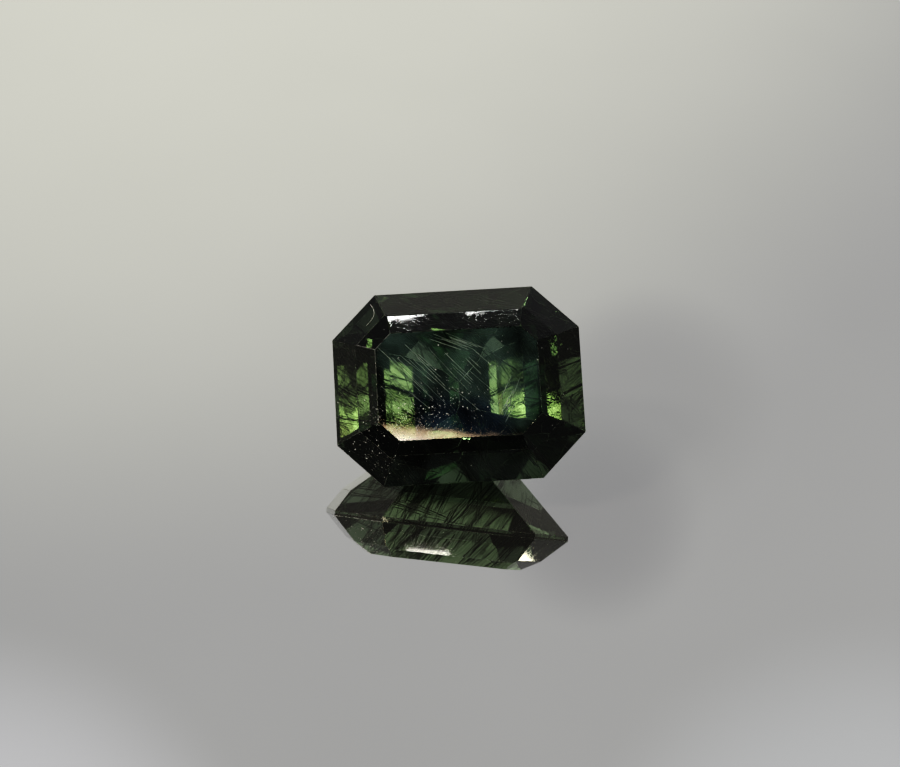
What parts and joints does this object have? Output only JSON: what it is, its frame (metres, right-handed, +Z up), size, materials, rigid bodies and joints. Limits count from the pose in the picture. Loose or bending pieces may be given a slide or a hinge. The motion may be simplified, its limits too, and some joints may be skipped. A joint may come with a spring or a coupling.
{
  "type": "peridot gemstone",
  "caption": "Faceted dark olive-green peridot in an octagonal step cut with dark needle inclusions, lying tilted on one facet of its deep pavilion.",
  "frame": {"origin": "on the ground under the middle of the stone's bounding box, as it lies on its resting facet", "axes": "+Z up from the ground, +X along the stone's length as seen from above, -Y towards the side that the table leans to"},
  "size_m": [0.0124, 0.0078, 0.0084],
  "materials": {
    "peridot": "polished"
  },
  "bodies": {
    "root": {"peridot": "peridot"}
  },
  "joints": []
}
